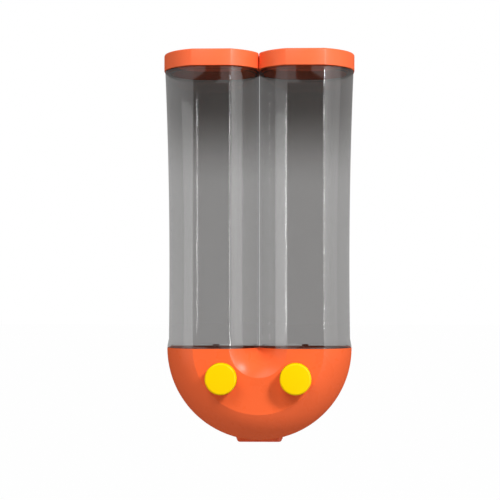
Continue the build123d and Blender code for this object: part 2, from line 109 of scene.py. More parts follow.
class PlanSizes(bpy.types.PropertyGroup):
    """Outline of one tank seen from above, which the base and the lids follow."""

    lobe_r: length("Lobe radius", "Radius of a tank's rounded sides", (base_high.x - base_low.x) / 4)
    flat_half: length("Front flat", "Half the width of the flat in front", 16.0 * MM)
    side_run: length("Side run", "Straight run of the sides between the front and back arcs", 11.1 * MM)
    back_flat_half: length("Back flat", "Half the width of the flat at the back", 17.5 * MM)


class TankSizes(bpy.types.PropertyGroup):
    """Clear tanks."""

    wall: length("Wall", "Thickness of the tank's wall", 1.8 * MM)
    foot_z: length("Foot", "Height of the foot's underside over the rim", 0.2 * MM)
    flare_h: length("Flare", "Height over the rim where the foot's flare ends", 8.0 * MM)
    spigot_inset: length("Spigot inset", "From the base's outline to the spigot inside the rim", 3.0 * MM)
    neck_inset: length("Neck inset", "From the base's outline to the neck inside the lid", 2.4 * MM)
    gap: length("Gap", "How far a tank stands inside the base's outline", 0.2 * MM)
    height: length("Height", "From the rim of the base to the shoulder under the lid", 247.2 * MM)
    waist_z: length("Waist height", "Height of the waist over the rim", 65.0 * MM)
    waist_in: length("Waist", "How far the outer side is drawn in at the waist", 1.6 * MM)
    shoulder_out: length("Shoulder", "How far the outer side stands out at the shoulder", 2.4 * MM)
    smoke: tint("Smoke", "Tint of the clear plastic", (0.03, 0.021, 0.015))
    crease_r: length("Front crease", "Rounding of the creases beside the front flat", 0.25 * MM)
    back_crease_r: length("Back crease", "Rounding of the creases beside the back flat", 2.5 * MM)
    edge_gloss: share("Edge gloss", "What the polish gains where the wall is seen edge on", 0.05)
    veil: share("Veil", "How much of the light behind the front wall is held back", 0.32)
    # Painted shade: the four sizes below make the veil thicker towards the back wall and high up under the
    # lid.
    painted_back_shade: share("Painted back shade", "What the veil gains towards the back wall", 0.26)
    painted_high_shade: share("Painted high shade", "What the veil gains more under the lid, at the back", 0.34)
    neck_veil: share("Neck veil", "What is left of the veil inside the lid", 0.1)
    painted_shade_from: length("Painted shade start", "Height over the rim where the veil starts to thicken", 143.0 * MM)
    painted_shade_run: length("Painted shade run", "Height over which the veil thickens", 85.0 * MM)


class LidSizes(bpy.types.PropertyGroup):
    """Lids."""

    overhang: length("Overhang", "From the base's outline out to the lid's", lid_high.x - base_high.x)
    wall: length("Wall", "Thickness of the lid", 1.6 * MM)
    roof: length("Roof", "Thickness of the lid's top", 2.0 * MM)
    lip_r: length("Lip radius", "Rounding round the lid's sunk top", 0.8 * MM)
    edge_r: length("Edge radius", "Rounding of the lid's upper edge", 1.5 * MM)
    plug_inset: length("Plug inset", "From the outline to the plug that goes into the tank", 5.3 * MM)
    plug_h: length("Plug depth", "From the lid's top down to the plug's underside", 7.9 * MM)
    # The lids' own orange, a little paler than the casing's as a painted sheen.
    orange: tint("Orange", "Colour of the lids", (0.93, 0.147, 0.046))


class BaseSizes(bpy.types.PropertyGroup):
    """Half-round base and the lugs on its rim."""

    wall: length("Wall", "Thickness of the casing", 2.2 * MM)
    deck_lip: length("Deck lip", "How far the deck reaches in past the casing's wall", 0.5 * MM)
    bore_gap: length("Bore gap", "Gap round each button", 0.25 * MM)
    key_w: length("Key width", "Width of the lug that places each tank", 6.0 * MM)
    key_h: length("Key height", "Height of that lug over the rim", 1.4 * MM)
    key_gap: length("Key gap", "Gap round the lug in the tank's notch", 0.3 * MM)
    spout_half: length("Spout half width", "Half the width of the spout's opening", 22.0 * MM)
    spout_front: length("Spout front", "From the arcs' centres to the opening's front", 0.7 * MM)
    spout_back: length("Spout back", "From the arcs' centres to the opening's back", 35.3 * MM)
    spout_h: length("Spout height", "From the spout's lip up to the opening's top", 18.0 * MM)
    orange: tint("Orange", "Colour of the casing", (0.93, 0.139, 0.036))


class ButtonSizes(bpy.types.PropertyGroup):
    """Press buttons."""

    edge_r: length("Edge radius", "Rounding of the button's face", 1.7 * MM)
    wall: length("Wall", "Thickness of the cap", 1.6 * MM)
    yellow: tint("Yellow", "Colour of the buttons", (1.0, 0.64, 0.0))


class SpringSizes(bpy.types.PropertyGroup):
    """Return springs behind the gates."""

    wire_r: length("Wire radius", "Radius of the spring's wire", 0.25 * MM)
    end_gap: length("End gap", "Gap between the wires of the nearly closed end turns", 0.5 * MM)
    turns: bpy.props.IntProperty(name="Turns", description="Turns of each spring", default=5, min=3)
    travel: length("Travel", "How far a button is pressed", 12.0 * MM)


class StageLook(bpy.types.PropertyGroup):
    """Camera, floor and lights."""

    camera_at: bpy.props.FloatVectorProperty(
        name="Camera",
        description="Place of the camera",
        default=(0.0326, -1.3754, 0.0843),
        subtype="TRANSLATION",
    )
    turn: bpy.props.FloatProperty(name="Turn", description="Camera's turn to the left", default=0.031)
    pitch: bpy.props.FloatProperty(name="Pitch", description="Camera's tilt upwards", default=0.0302)
    lens: bpy.props.FloatProperty(
        name="Lens", description="Focal length in millimetres", default=106.2, min=1.0
    )
    floor_z: bpy.props.FloatProperty(
        name="Floor", description="Height of the floor", default=-0.55, unit="LENGTH"
    )
    key_power: watts("Key", "Power of the key light", 17.5)
    fill_power: watts("Fill", "Power of the front fill", 12.5)
    strip_power: watts("Strip", "Power of the strip box", 11.5)
    left_power: watts("Left", "Power of the left box", 1.25)
    right_power: watts("Right", "Power of the right box", 2.8)
    ambient: bpy.props.FloatProperty(name="Ambient", description="Level of light from all round", default=0.2)


class DispenserSettings(bpy.types.PropertyGroup):
    """All that the dispenser's operators read."""

    plan: bpy.props.PointerProperty(type=PlanSizes)
    tank: bpy.props.PointerProperty(type=TankSizes)
    lid: bpy.props.PointerProperty(type=LidSizes)
    base: bpy.props.PointerProperty(type=BaseSizes)
    button: bpy.props.PointerProperty(type=ButtonSizes)
    spring: bpy.props.PointerProperty(type=SpringSizes)
    stage: bpy.props.PointerProperty(type=StageLook)


def settings():
    """The scene's dispenser settings."""
    return bpy.context.scene.dispenser


class Term:
    """A shader socket that adds Math nodes where it is used in an expression."""

    def __init__(self, finish, socket):
        self.finish = finish
        self.socket = socket

    def math(self, operation, *values):
        return self.finish.node("ShaderNodeMath", {"operation": operation}, dict(enumerate(values)))

    def __add__(self, other):
        return self.math("ADD", self, other)

    def __sub__(self, other):
        return self.math("SUBTRACT", self, other)

    def __rsub__(self, other):
        return self.math("SUBTRACT", other, self)

    def __mul__(self, other):
        return self.math("MULTIPLY", self, other)

    def __truediv__(self, other):
        return self.math("DIVIDE", self, other)

    def __pow__(self, other):
        return self.math("POWER", self, other)

    def clamped(self):
        return self.math("MINIMUM", self.math("MAXIMUM", self, 0.0), 1.0)

    def eased(self):
        """Clamped, and smooth at both ends."""
        level = self.clamped()
        return level * level * (3.0 - level * 2.0)


class Finish:
    """A material in the making, whose nodes are added through one method."""

    def __init__(self, name, **values):
        self.material = bpy.data.materials.new(name)
        self.material.use_nodes = True
        self.tree = self.material.node_tree
        self.shader = self.tree.nodes["Principled BSDF"]
        self.output = self.tree.nodes["Material Output"]
        for socket, value in values.items():
            self.shader.inputs[socket.replace("_", " ")].default_value = value

    def node(self, kind, options=None, values=None, output=0):
        """A node with its options set, then its inputs given values or links."""
        made = self.tree.nodes.new(kind)
        for option, value in (options or {}).items():
            setattr(made, option, value)
        for key, value in (values or {}).items():
            self.feed(made.inputs[key], value)
        return Term(self, made.outputs[output])

    def feed(self, socket, value):
        """Link a term to a socket, or set the socket to a plain value."""
        if isinstance(value, Term):
            self.tree.links.new(value.socket, socket)
        else:
            socket.default_value = value

    def set(self, name, value):
        """Give the main shader's socket a value or a link."""
        self.feed(self.shader.inputs[name], value)

    def place(self, scale=(1.0, 1.0, 1.0)):
        """The point on the piece, in metres, stretched by a scale."""
        point = self.node("ShaderNodeTexCoord", output="Object")
        return self.node("ShaderNodeMapping", values={"Vector": point, "Scale": scale})

    def noise(self, scale, detail=2.0, stretch=(1.0, 1.0, 1.0)):
        """Smooth noise from 0 to 1 with so many lumps to the metre."""
        values = {"Vector": self.place(stretch), "Scale": scale, "Detail": detail}
        return self.node("ShaderNodeTexNoise", values=values)

    def axis(self, name):
        """One coordinate of the point on the piece, in metres."""
        return self.node("ShaderNodeSeparateXYZ", values={"Vector": self.place()}, output=name)

    def blend(self, share, first, second):
        """A colour between two colours."""
        made = self.tree.nodes.new("ShaderNodeMix")
        made.data_type = "RGBA"
        for index, value in ((0, share), (6, first), (7, second)):
            self.feed(made.inputs[index], value)
        return Term(self, made.outputs[2])

    def bump(self, height, depth, strength=1.0):
        """Surface relief of a depth in metres from a height of 0 to 1."""
        values = {"Height": height, "Distance": depth, "Strength": strength}
        relief = self.node("ShaderNodeBump", values=values, output="Normal")
        self.set("Normal", relief)
        return relief

    def polish(self, share, roughness, relief):
        """Lay a clear polish over the main shader, as a share of what is seen."""
        values = {"Color": (1.0, 1.0, 1.0, 1.0), "Roughness": roughness, "Normal": relief}
        gloss = self.node("ShaderNodeBsdfAnisotropic", values=values)
        body = Term(self, self.shader.outputs[0])
        mixed = self.node("ShaderNodeMixShader", values={0: share, 1: body, 2: gloss})
        self.feed(self.output.inputs["Surface"], mixed)


def opaque(colour, share=1.0):
    """A colour with its alpha, dimmed to a share."""
    return (colour[0] * share, colour[1] * share, colour[2] * share, 1.0)


def moulded_plastic(name, colour, roughness, shine=0.02, grain=0.012):
    """Satin moulded plastic with faint flow marks, a fine orange-peel surface and handling marks."""
    finish = Finish(name, Specular_IOR_Level=0.0)
    flow = finish.noise(26.0, 3.0, (1.0, 1.0, 0.45))
    speck = finish.noise(900.0, 1.0)
    tone = (flow * 0.8 + speck * 0.2).clamped()
    finish.set("Base Color", finish.blend(tone, opaque(colour, 0.96), opaque(colour, 1.03)))
    worn = finish.noise(60.0, 4.0) * 0.1 + (roughness - 0.05)
    finish.set("Roughness", worn)
    peel = finish.noise(1400.0, 2.0) + finish.noise(160.0, 1.0) * 0.6
    finish.polish(shine, worn, finish.bump(peel, grain * MM))
    return finish.material


def clear_plastic(name, tank, tinted):
    """Smoke-tinted clear plastic with polished faces, its veil thickened high up and towards the back as
    painted shade.

    The veil lies on the outer face alone, so that the walls look no clearer where they are seen edge on.
    """
    finish = Finish(name, Roughness=0.25, IOR=1.49, Specular_IOR_Level=0.0)
    height = finish.axis("Z") - RIM_Z
    # Painted shade: the veil thickens towards the back wall and high up under the lid.
    rear = (finish.axis("Y") - tank_low.y) / (tank_high.y - tank_low.y)
    neck = ((height - tank.height) / (0.3 * MM)).clamped()
    high = ((height - tank.painted_shade_from) / tank.painted_shade_run).eased()
    haze = finish.noise(18.0, 3.0, (1.0, 1.0, 0.3))
    finish.set("Base Color", finish.blend(haze, opaque(tank.smoke, 0.9), opaque(tank.smoke, 1.1)))
    veil = rear.clamped() * (high * tank.painted_high_shade + tank.painted_back_shade) + tank.veil
    left = 1.0 - neck * (1.0 - tank.neck_veil)
    finish.set("Alpha", (veil * left * tinted + haze * 0.02).clamped())
    wave = finish.noise(22.0, 2.0, (1.0, 1.0, 0.25))
    relief = finish.bump(wave, 0.01 * MM, 0.2)
    facing = finish.node("ShaderNodeLayerWeight", values={"Blend": 0.5}, output="Facing")
    finish.polish((facing ** 4.0) * tank.edge_gloss + 0.04, 0.06, relief)
    return finish.material


def soft_rubber(name, colour):
    """Matt rubber or silicone with a dusty bloom."""
    finish = Finish(name, IOR=1.45)
    bloom = finish.noise(90.0, 4.0)
    finish.set("Base Color", finish.blend(bloom, opaque(colour, 0.9), opaque(colour, 1.12)))
    finish.set("Roughness", bloom * 0.15 + 0.62)
    finish.bump(finish.noise(2200.0, 2.0), 0.02 * MM)
    return finish.material


def foam(name, colour):
    """Closed-cell foam tape."""
    finish = Finish(name, Roughness=0.85)
    cells = finish.node("ShaderNodeTexVoronoi", values={"Vector": finish.place(), "Scale": 1600.0})
    finish.set("Base Color", finish.blend(cells, opaque(colour, 0.85), opaque(colour, 1.05)))
    finish.bump(cells, 0.1 * MM)
    return finish.material


def drawn_steel(name, colour, roughness):
    """Plated steel with fine draw marks."""
    finish = Finish(name, Metallic=1.0)
    streaks = finish.noise(1500.0, 2.0, (1.0, 0.08, 1.0))
    finish.set("Base Color", finish.blend(streaks, opaque(colour, 0.88), opaque(colour, 1.05)))
    finish.set("Roughness", streaks * 0.15 + (roughness - 0.07))
    finish.bump(streaks, 0.01 * MM)
    return finish.material


def backdrop(name, colour):
    """Pale floor that reads as the background where nothing shades it."""
    glow_share, glow_level = 0.98, 1.01
    finish = Finish(name, Roughness=0.9, Specular_IOR_Level=0.0)
    finish.set("Base Color", opaque(colour))
    kinds = ("Is Camera Ray", "Is Glossy Ray", "Is Transmission Ray")
    rays = [finish.node("ShaderNodeLightPath", output=kind) for kind in kinds]
    seen = (rays[0] + rays[1] + rays[2]).clamped() * glow_share
    values = {"Color": opaque((1.0, 1.0, 1.0)), "Strength": glow_level}
    glow = finish.node("ShaderNodeEmission", values=values)
    body = Term(finish, finish.shader.outputs[0])
    mixed = finish.node("ShaderNodeMixShader", values={0: seen, 1: body, 2: glow})
    finish.feed(finish.output.inputs["Surface"], mixed)
    return finish.material


def plan_measures(grow):
    """Radius, reaches and half flats of a tank's plan, grown all round."""
    plan = settings().plan
    radius = plan.lobe_r + grow
    front = sqrt(plan.lobe_r**2 - plan.flat_half**2) + grow
    back = sqrt(plan.lobe_r**2 - plan.back_flat_half**2) + grow
    return radius, front, back, sqrt(radius**2 - front**2), sqrt(radius**2 - back**2)


def front_centre_y():
    """Depth of the front arcs' centres."""
    plan = settings().plan
    return base_low.y + sqrt(plan.lobe_r**2 - plan.flat_half**2)


def run_to(bm, vert, x, y):
    """Carry a chain of edges straight on to a place at the same height."""
    made = bmesh.ops.extrude_vert_indiv(bm, verts=[vert])["verts"][0]
    bmesh.ops.translate(bm, verts=[made], vec=Vector((x, y, vert.co.z)) - made.co)
    return made


def turn_by(bm, vert, centre, angle, steps=ARC_STEPS):
    """Carry a chain of edges on round an upright axis."""
    made = bmesh.ops.spin(bm, geom=[vert], cent=centre, axis=(0, 0, 1), angle=angle, steps=steps)
    return next(part for part in made["geom_last"] if isinstance(part, bmesh.types.BMVert))


def outline(bm, grow, z, bulge=0.0, least_x=-1.0):
    """The right-hand tank's plan at a height, as a closed loop of edges, flattened at a least X."""
    plan = settings().plan
    radius, front, back, half, back_half = plan_measures(grow)
    x, y = plan.lobe_r, front_centre_y()
    y_back = y + plan.side_run
    before = set(bm.edges)
    first = bm.verts.new((x + half, y - front, z))
    front_turn, back_turn = atan2(front, half), atan2(back, back_half)
    last = turn_by(bm, first, (x, y, z), front_turn)
    last = run_to(bm, last, x + radius, y_back)
    last = turn_by(bm, last, (x, y_back, z), back_turn)
    last = run_to(bm, last, x - back_half, y_back + back)
    last = turn_by(bm, last, (x, y_back, z), back_turn)
    last = run_to(bm, last, x - radius, y)
    last = turn_by(bm, last, (x, y, z), front_turn)
    run_to(bm, last, x + half, y - front)
    edges = [edge for edge in bm.edges if edge not in before]
    verts = list({vert for edge in edges for vert in edge.verts})
    bmesh.ops.remove_doubles(bm, verts=verts, dist=1e-6)
    edges = [edge for edge in bm.edges if edge not in before]
    crease, reach = x + half, radius - half
    for vert in {vert for edge in edges for vert in edge.verts}:
        vert.co.x = max(vert.co.x + bulge * max(0.0, vert.co.x - crease) / reach, least_x)
    return edges


def skin(bm, sections, closed=False):
    """Walls through a row of plans, each what outline takes. Returns the end loops."""
    loops = [outline(bm, *section) for section in sections]
    count = len(loops)
    pairs = [(start, (start + 1) % count) for start in range(count if closed else count - 1)]
    # Level rings go first, as the operator may turn one over beside other faces
    for low, high in sorted(pairs, key=lambda pair: abs(sections[pair[0]][1] - sections[pair[1]][1])):
        bmesh.ops.bridge_loops(bm, edges=loops[low] + loops[high])
    return loops[0], loops[-1]


def quarter(grow, z, radius, start, end, steps=5):
    """Sections of a rounded edge whose centre lies at a growth and a height, between two angles."""
    angles = [start + (end - start) * step / steps for step in range(steps + 1)]
    return [(grow + radius * cos(angle), z + radius * sin(angle)) for angle in angles]


def tidied(bm):
    """Close seams and point the faces outwards."""
    bmesh.ops.remove_doubles(bm, verts=bm.verts, dist=1e-6)
    bmesh.ops.recalc_face_normals(bm, faces=bm.faces)


def mirrored(bm):
    """The left-hand copy of a right-hand piece."""
    copy = bm.copy()
    bmesh.ops.scale(copy, vec=(-1.0, 1.0, 1.0), verts=copy.verts)
    bmesh.ops.reverse_faces(copy, faces=copy.faces)
    return copy


def piece(name, bm, material):
    """A named object from a finished bmesh, shaded smooth."""
    for face in bm.faces:
        face.smooth = True
    mesh = bpy.data.meshes.new(name)
    bm.to_mesh(mesh)
    bm.free()
    mesh.materials.append(material)
    made = bpy.data.objects.new(name, mesh)
    bpy.context.scene.collection.objects.link(made)
    return made


def add_wall(made, thickness):
    """Give an outer skin its wall, inwards."""
    wall = made.modifiers.new("wall", "SOLIDIFY")
    wall.thickness = thickness
    wall.offset = -1.0
    wall.use_even_offset = True


def soften(made, width, angle=18.0, segments=3):
    """Round the edges over an angle."""
    edge = made.modifiers.new("edges", "BEVEL")
    edge.width = width
    edge.segments = segments
    edge.limit_method = "ANGLE"
    edge.angle_limit = radians(angle)
    edge.harden_normals = True


def applied(made):
    """The object with its modifiers turned into mesh."""
    graph = bpy.context.evaluated_depsgraph_get()
    mesh = bpy.data.meshes.new_from_object(made.evaluated_get(graph))
    old = made.data
    made.modifiers.clear()
    made.data = mesh
    bpy.data.meshes.remove(old)
    mesh.name = made.name
    return made


def cut(made, cutters, operation="DIFFERENCE"):
    """Cut one solid by others, each a bmesh, and keep the result as mesh."""
    helpers = []
    for bm in cutters:
        helper = piece("cutter", bm, made.data.materials[0])
        helpers.append(helper)
        step = made.modifiers.new("cut", "BOOLEAN")
        step.operation = operation
        step.solver = "EXACT"
        step.object = helper
    bpy.context.view_layer.update()
    applied(made)
    for helper in helpers:
        mesh = helper.data
        bpy.data.objects.remove(helper)
        bpy.data.meshes.remove(mesh)
    return made


def place_piece(made, body, node):
    """Let a finished piece stand for a node and move with its body."""
    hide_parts(node)
    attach(made, body)


def round_bar(x, z, radius, start, end):
    """A solid round bar along Y."""
    bm = bmesh.new()
    turn = Matrix.Translation((x, (start + end) / 2, z)) @ Matrix.Rotation(pi / 2, 4, "X")
    depth = abs(end - start)
    bmesh.ops.create_cone(
        bm, cap_ends=True, segments=ROUND_STEPS, radius1=radius, radius2=radius, depth=depth, matrix=turn
    )
    return bm


def bar(low, high):
    """A solid box between two corners."""
    bm = bmesh.new()
    middle, size = (Vector(low) + Vector(high)) / 2, Vector(high) - Vector(low)
    bmesh.ops.create_cube(bm, size=1.0, matrix=Matrix.Translation(middle) @ Matrix.Diagonal((*size, 1.0)))
    return bm


def filled(sections):
    """A solid whose skin runs through a row of plans, with both ends filled."""
    bm = bmesh.new()
    for loop in skin(bm, sections):
        bmesh.ops.edgeloop_fill(bm, edges=loop)
    tidied(bm)
    return bm


def casing_solid(inset, back, top):
    """Half the rim's plan turned about its middle, closed at the back and on top."""
    plan = settings().plan
    radius, front, _, half, _ = plan_measures(-inset)
    x, y = plan.lobe_r, front_centre_y()
    bm = bmesh.new()
    if inset:
        first = bm.verts.new((0.0, y + inset, RIM_Z))
        last = run_to(bm, first, inset, y)
    else:
        last = bm.verts.new((0.0, y, RIM_Z))
    turn = atan2(front, half)
    last = turn_by(bm, last, (x, y, RIM_Z), turn)
    last = run_to(bm, last, x + half, y - front)
    last = turn_by(bm, last, (x, y, RIM_Z), turn)
    run_to(bm, last, x + radius, back)
    profile = bm.verts[:] + bm.edges[:]
    bmesh.ops.spin(
        bm, geom=profile, cent=(0.0, 0.0, RIM_Z), axis=(0, 1, 0), angle=pi, steps=HALF_TURN_STEPS
    )
    bmesh.ops.remove_doubles(bm, verts=bm.verts, dist=1e-6)
    bmesh.ops.dissolve_degenerate(bm, edges=bm.edges, dist=1e-7)
    corners = [v for v in bm.verts if abs(v.co.y - back) < 1e-6 and abs(v.co.z - RIM_Z) < 1e-6]
    corners = sorted(corners, key=lambda v: v.co.x)
    bm.edges.new((corners[0], corners[-1]))
    rims = [edge for edge in bm.edges if not edge.is_manifold]
    back_rim = [edge for edge in rims if all(abs(v.co.y - back) < 1e-6 for v in edge.verts)]
    top_rim = [edge for edge in rims if all(abs(v.co.z - RIM_Z) < 1e-6 for v in edge.verts)]
    bmesh.ops.contextual_create(bm, geom=back_rim)
    bmesh.ops.contextual_create(bm, geom=top_rim)
    if top < RIM_Z:
        whole = bm.verts[:] + bm.edges[:] + bm.faces[:]
        kept = bmesh.ops.bisect_plane(
            bm, geom=whole, plane_co=(0, 0, top), plane_no=(0, 0, 1), clear_outer=True
        )
        cut_edges = [part for part in kept["geom_cut"] if isinstance(part, bmesh.types.BMEdge)]
        bmesh.ops.contextual_create(bm, geom=cut_edges)
    tidied(bm)
    return bm


def waist(z):
    """How far a tank's outer side stands out of its plan at a height over the rim."""
    tank = settings().tank
    climb = (z - tank.waist_z) / (tank.height - tank.waist_z)
    return (tank.shoulder_out + tank.waist_in) * climb**2 - tank.waist_in


def tank_sections():
    """Plans up the tank's outer skin from the spigot to the neck, and down its inner skin again."""
    tank = settings().tank
    plan, wall = -tank.gap, tank.wall
    foot, foot_top = tank.foot_z, tank.foot_z + wall
    neck_low, neck_top = tank.height - wall, tank_high.z - RIM_Z
    steps = range(LEVELS + 1)
    levels = [tank.flare_h + (tank.height - tank.flare_h) * step / LEVELS for step in steps]
    inner_levels = [foot_top + (neck_low - foot_top) * step / LEVELS for step in steps]
    sections = [(-tank.spigot_inset, -SPIGOT_H, 0.0), (-tank.spigot_inset, foot, 0.0)]
    sections += [(plan, foot, 0.0), (plan, foot_top, 0.0)]
    sections += [(plan, z, waist(z)) for z in levels]
    sections += [(-tank.neck_inset, tank.height, 0.0), (-tank.neck_inset, neck_top, 0.0)]
    sections += [(-tank.neck_inset - wall, neck_top, 0.0), (-tank.neck_inset - wall, neck_low, 0.0)]
    sections += [(plan - wall, z, waist(z)) for z in reversed(inner_levels)]
    sections += [(-tank.spigot_inset - wall, foot_top, 0.0), (-tank.spigot_inset - wall, -SPIGOT_H, 0.0)]
    return [(grow, RIM_Z + z, bulge) for grow, z, bulge in sections]


def lid_sections():
    """Plans from the floor of a lid's sunk top out over its edge, under its skirt and in to its plug."""
    lid = settings().lid
    top, out, r, lip = lid_high.z, lid.overhang, lid.edge_r, lid.lip_r
    well, inner, roof = -lid.plug_inset - lid.wall, out - lid.wall, top - lid.roof
    floor = top - lid.plug_h + lid.roof
    sections = quarter(well - lip, floor + lip, lip, -pi / 2, 0.0, 3)
    sections += quarter(well + lip, top - lip, lip, pi, pi / 2, 3)
    sections += quarter(out - r, top - r, r, pi / 2, 0.0)
    sections += [(out, lid_low.z), (inner, lid_low.z), (inner, roof)]
    sections += [(-lid.plug_inset, roof), (-lid.plug_inset, top - lid.plug_h)]
    flat_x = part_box("lid_right")[0].x
    return [(grow, z, 0.0, flat_x + min(out - grow, lid.wall)) for grow, z in sections]


class DISPENSER_OT_tanks(bpy.types.Operator):
    """Build the two clear tanks"""

    bl_idname = "dispenser.tanks"
    bl_label = "Tanks"

    def execute(self, context):
        tank, base, plan = settings().tank, settings().base, settings().plan
        tinted = clear_plastic("smoky_clear_plastic", tank, 1.0)
        lining = clear_plastic("clear_lining", tank, 0.0)
        bm = bmesh.new()
        skin(bm, tank_sections(), closed=True)
        tidied(bm)
        middle_y = front_centre_y() + plan.side_run / 2
        for back, radius in ((False, tank.crease_r), (True, tank.back_crease_r)):
            creases = [edge for edge in bm.edges if self.is_crease(edge)]
            bmesh.ops.bevel(
                bm,
                geom=[edge for edge in creases if (edge.verts[0].co.y > middle_y) == back],
                offset=radius,
                segments=CREASE_STEPS,
                profile=0.5,
                affect="EDGES",
                material=-1,
                clamp_overlap=True,
            )
        axis = Vector((plan.lobe_r, middle_y, 0.0))
        for face in bm.faces:
            outwards = face.calc_center_median() - axis
            face.material_index = int(outwards.xy.dot(face.normal.xy) < -1.0 * MM)
        half, notch_top = base.key_w / 2 + base.key_gap, RIM_Z + base.key_h + base.key_gap
        for side, form in (("left", mirrored(bm)), ("right", bm)):
            made = piece(f"{side}_tank_wall", form, tinted)
            made.data.materials.append(lining)
            middle = SIDES[side] * plan.lobe_r
            low = (middle - half, tank_high.y - base.wall, RIM_Z)
            cut(made, [bar(low, (middle + half, base_high.y + PAST, notch_top))])
            soften(made, 0.3 * MM, angle=24.0)
            place_piece(made, f"{side}_tank", f"tank_{side}")
        return {"FINISHED"}

    def is_crease(self, edge):
        """Whether an edge runs up the walls beside one of the flats."""
        tank, (low, high) = settings().tank, sorted(vert.co.z - RIM_Z for vert in edge.verts)
        if low < tank.flare_h - 0.1 * MM or high > tank.height - tank.wall + 0.1 * MM:
            return False
        return high - low > 1.0 * MM and edge.calc_face_angle(0.0) > radians(15.0)


class DISPENSER_OT_lids(bpy.types.Operator):
    """Build the two lids"""

    bl_idname = "dispenser.lids"
    bl_label = "Lids"

    def execute(self, context):
        material = moulded_plastic("satin_orange_lid", settings().lid.orange, 0.32)
        bm = filled(lid_sections())
        for side, form in (("left", mirrored(bm)), ("right", bm)):
            made = piece(f"{side}_lid_cap", form, material)
            soften(made, 0.25 * MM, angle=30.0)
            place_piece(made, f"{side}_lid", f"lid_{side}")
        return {"FINISHED"}


class DISPENSER_OT_base(bpy.types.Operator):
    """Build the half-round base"""

    bl_idname = "dispenser.base"
    bl_label = "Base"

    def execute(self, context):
        base, plan = settings().base, settings().plan
        material = moulded_plastic("satin_orange_base", base.orange, 0.28, shine=0.014)
        back, face_y = base_high.y, base_low.y
        made = piece("half_round_base", casing_solid(0.0, back, RIM_Z), material)
        inset = base.wall + base.deck_lip
        deck = filled([(-inset, RIM_Z - inset), (-inset, RIM_Z + PAST)])
        inside = casing_solid(base.wall, back + PAST, RIM_Z - base.wall)
        cutters = [inside, mirrored(deck), deck]
        bore = button_high.x - BUTTON_X + base.bore_gap
        for sign in SIDES.values():
            start, end = face_y - PAST, face_y + base.wall + PAST
            cutters.append(round_bar(sign * BUTTON_X, BUTTON_Z, bore, start, end))
        lip_z, arc_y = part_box("outlet_chute")[0].z, front_centre_y()
        spout_low = (-base.spout_half, arc_y + base.spout_front, lip_z - PAST)
        cutters.append(bar(spout_low, (base.spout_half, arc_y + base.spout_back, lip_z + base.spout_h)))
        cut(made, cutters)
        lugs = []
        half, lug_back = base.key_w / 2, back - 0.05 * MM
        for sign in SIDES.values():
            middle = sign * plan.lobe_r
            low = (middle - half, back - base.wall, RIM_Z - base.wall)
            lugs.append(bar(low, (middle + half, lug_back, RIM_Z + base.key_h)))
        cut(made, lugs, "UNION")
        for polygon in made.data.polygons:
            polygon.use_smooth = True
        soften(made, 0.4 * MM)
        place_piece(made, "base", "base_shell")
        return {"FINISHED"}


class DISPENSER_OT_buttons(bpy.types.Operator):
    """Build the two press buttons"""

    bl_idname = "dispenser.buttons"
    bl_label = "Buttons"

    def execute(self, context):
        button = settings().button
        material = moulded_plastic("satin_yellow_button", button.yellow, 0.3, shine=0.006)
        radius, r = button_high.x - BUTTON_X, button.edge_r
        face, rear = button_low.y, button_high.y
        for side, sign in SIDES.items():
            x, z = sign * BUTTON_X, BUTTON_Z
            bm = bmesh.new()
            first = bm.verts.new((x, face, z))
            last = bmesh.ops.extrude_vert_indiv(bm, verts=[first])["verts"][0]
            bmesh.ops.translate(bm, verts=[last], vec=(radius - r, 0.0, 0.0))
            steps = 8
            made = bmesh.ops.spin(
                bm, geom=[last], cent=(x + radius - r, face + r, z), axis=(0, 0, 1), angle=pi / 2, steps=steps
            )
            last = next(part for part in made["geom_last"] if isinstance(part, bmesh.types.BMVert))
            run_to(bm, last, x + radius, rear)
            bmesh.ops.spin(
                bm,
                geom=bm.verts[:] + bm.edges[:],
                cent=(x, 0.0, z),
                axis=(0, 1, 0),
                angle=2 * pi,
                steps=ROUND_STEPS,
                use_merge=True,
            )
            tidied(bm)
            made = piece(f"{side}_press_button", bm, material)
            add_wall(made, button.wall)
            soften(made, 0.25 * MM, angle=30.0)
            place_piece(made, f"{side}_button", f"button_{side}")
        return {"FINISHED"}


class DISPENSER_OT_springs(bpy.types.Operator):
    """Build the return springs, each with its own mesh, fixed to the base"""

    bl_idname = "dispenser.springs"
    bl_label = "Springs"

    def execute(self, context):
        spring = settings().spring
        material = drawn_steel("spring_wire", (0.72, 0.71, 0.69), 0.3)
        x0, z0 = (spring_low.x + spring_high.x) / 2, (spring_low.z + spring_high.z) / 2
        bm = self.coil(spring, x0, z0)
        for side, form in (("left", mirrored(bm)), ("right", bm)):
            made = piece(f"{side}_return_coil", form, material)
            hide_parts(f"return_spring_{side}")
            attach(made, "base")
            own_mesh(made)
        return {"FINISHED"}

    def coil(self, spring, x0, z0):
        """The right-hand spring, its first and last turns nearly closed."""
        wire = spring.wire_r
        start, end = spring_low.y + wire, spring_high.y - wire
        closed = 2 * wire + spring.end_gap
        open_rise = end - start - 2 * closed
        bm = bmesh.new()
        at = Matrix.Translation((spring_high.x - wire, start, z0))
        bmesh.ops.create_circle(bm, cap_ends=True, segments=WIRE_SIDES, radius=wire, matrix=at)
        ring = bm.verts[:] + bm.edges[:] + bm.faces[:]
        for turns, rise in ((1, closed), (spring.turns - 2, open_rise), (1, closed)):
            steps = COIL_STEPS * turns
            made = bmesh.ops.spin(
                bm,
                geom=ring,
                cent=(x0, start, z0),
                axis=(0, -1, 0),
                angle=2 * pi * turns,
                dvec=Vector((0.0, rise / steps, 0.0)),
                steps=steps,
            )
            ring = made["geom_last"]
        tidied(bm)
        return bm


